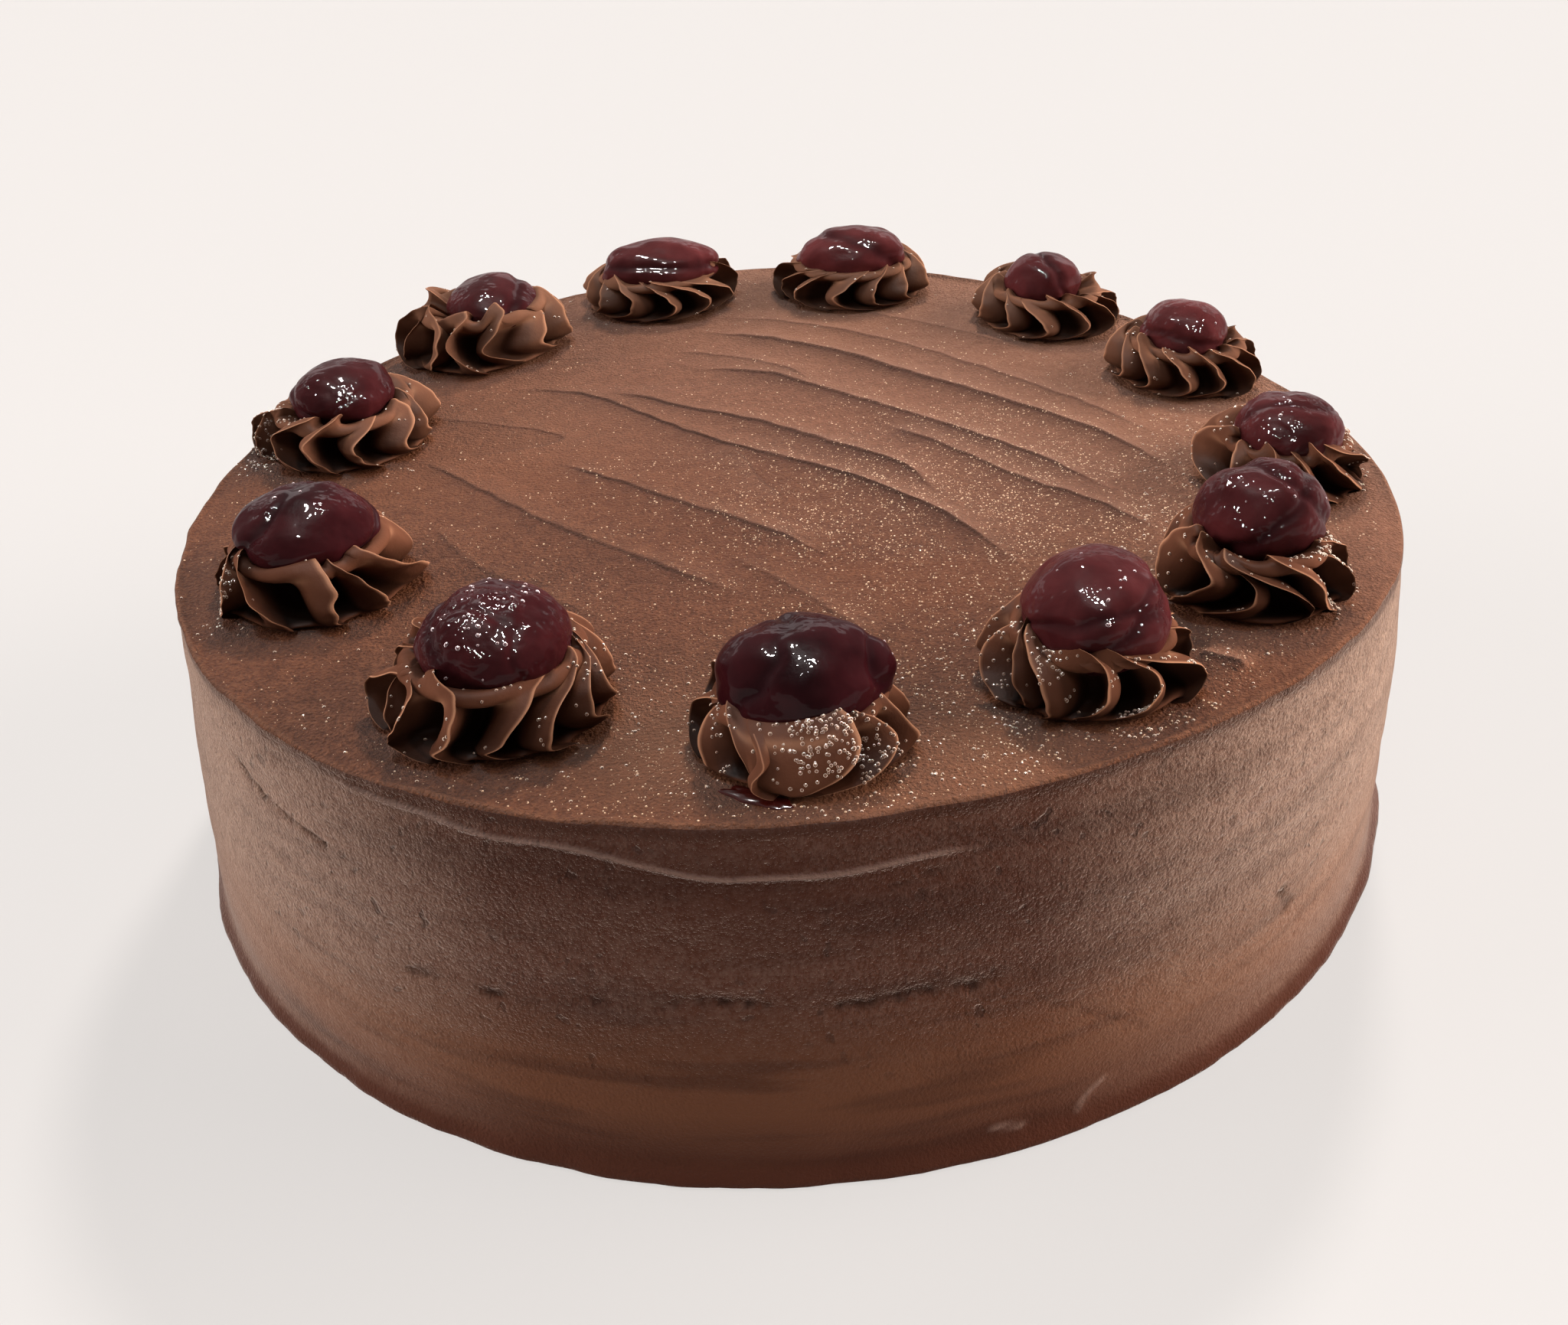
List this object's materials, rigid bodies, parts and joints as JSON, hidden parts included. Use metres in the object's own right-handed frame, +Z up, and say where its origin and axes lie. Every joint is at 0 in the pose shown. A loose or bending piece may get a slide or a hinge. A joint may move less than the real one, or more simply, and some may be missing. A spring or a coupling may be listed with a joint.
{
  "type": "chocolate cherry cake",
  "caption": "Round uncut chocolate cake with smoothed dark icing and a ring of piped ruffled rosettes, each holding a glazed dark cherry.",
  "frame": {"origin": "centre of the flat underside that rests on the board or plate", "axes": "+Z up through the middle of the cake; -Y towards the front"},
  "size_m": [0.2126, 0.2126, 0.0756],
  "materials": {
    "frosting": "satin chocolate icing, spread smooth",
    "piped_ganache": "silky piped chocolate ganache",
    "cherry": "wet glossy dark cherry"
  },
  "bodies": {
    "root": {"cake_body": "frosting", "rosette_01": "piped_ganache", "cherry_01": "cherry", "rosette_02": "piped_ganache", "cherry_02": "cherry", "rosette_03": "piped_ganache", "cherry_03": "cherry", "rosette_04": "piped_ganache", "cherry_04": "cherry", "rosette_05": "piped_ganache", "cherry_05": "cherry", "rosette_06": "piped_ganache", "cherry_06": "cherry", "rosette_07": "piped_ganache", "cherry_07": "cherry", "rosette_08": "piped_ganache", "cherry_08": "cherry", "rosette_09": "piped_ganache", "cherry_09": "cherry", "rosette_10": "piped_ganache", "cherry_10": "cherry", "rosette_11": "piped_ganache", "cherry_11": "cherry", "rosette_12": "piped_ganache", "cherry_12": "cherry"}
  },
  "joints": []
}
